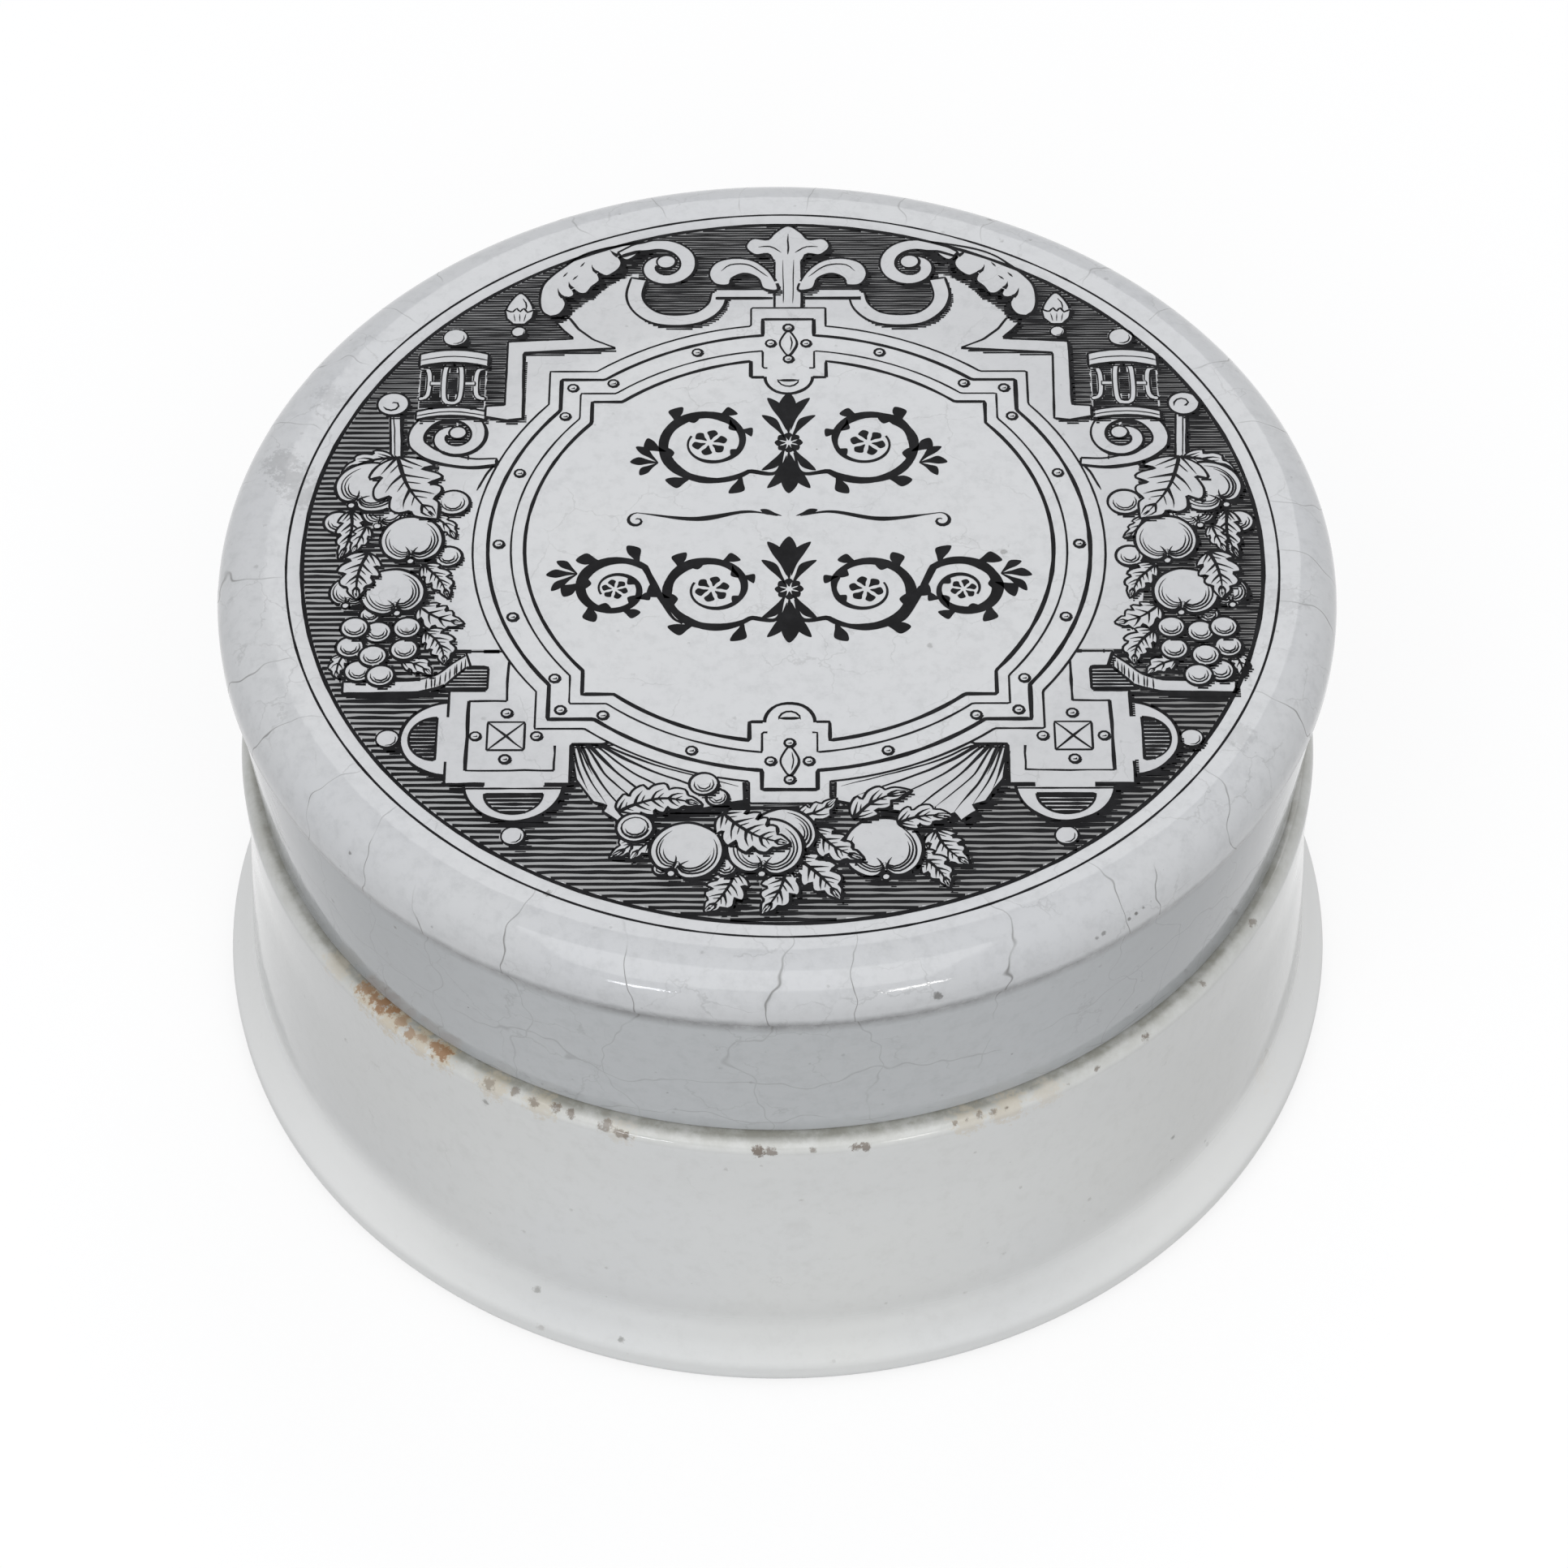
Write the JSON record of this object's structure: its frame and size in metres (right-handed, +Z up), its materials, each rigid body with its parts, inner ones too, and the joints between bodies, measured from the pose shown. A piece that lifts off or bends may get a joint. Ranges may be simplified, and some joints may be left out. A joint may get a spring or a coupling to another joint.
{
  "type": "ointment pot",
  "caption": "Low round earthenware pot with a flared foot, stepped ledge and neck, and a loose flat-topped lid with a rounded edge.",
  "frame": {"origin": "centre of the circle that the foot stands on", "axes": "+Z up along the axis that pot and lid are turned about; -Y towards the front of the printed lid"},
  "size_m": [0.0826, 0.0826, 0.0426],
  "materials": {
    "pot_glaze": "glossy off-white glaze on earthenware, fine specks, rust-brown stains under the lid's edge",
    "lid_glaze": "glossy cool white glaze with grey crazing",
    "black_print": "black engraved transfer print, seen through the lid's glaze"
  },
  "bodies": {
    "pot": {"pot": "pot_glaze"},
    "lid": {"lid": "lid_glaze"}
  },
  "joints": [
    {"name": "lid_lift", "type": "slide", "parent": "pot", "child": "lid", "axis": [0, 0, 1], "range_m": [0, 0.06]}
  ]
}
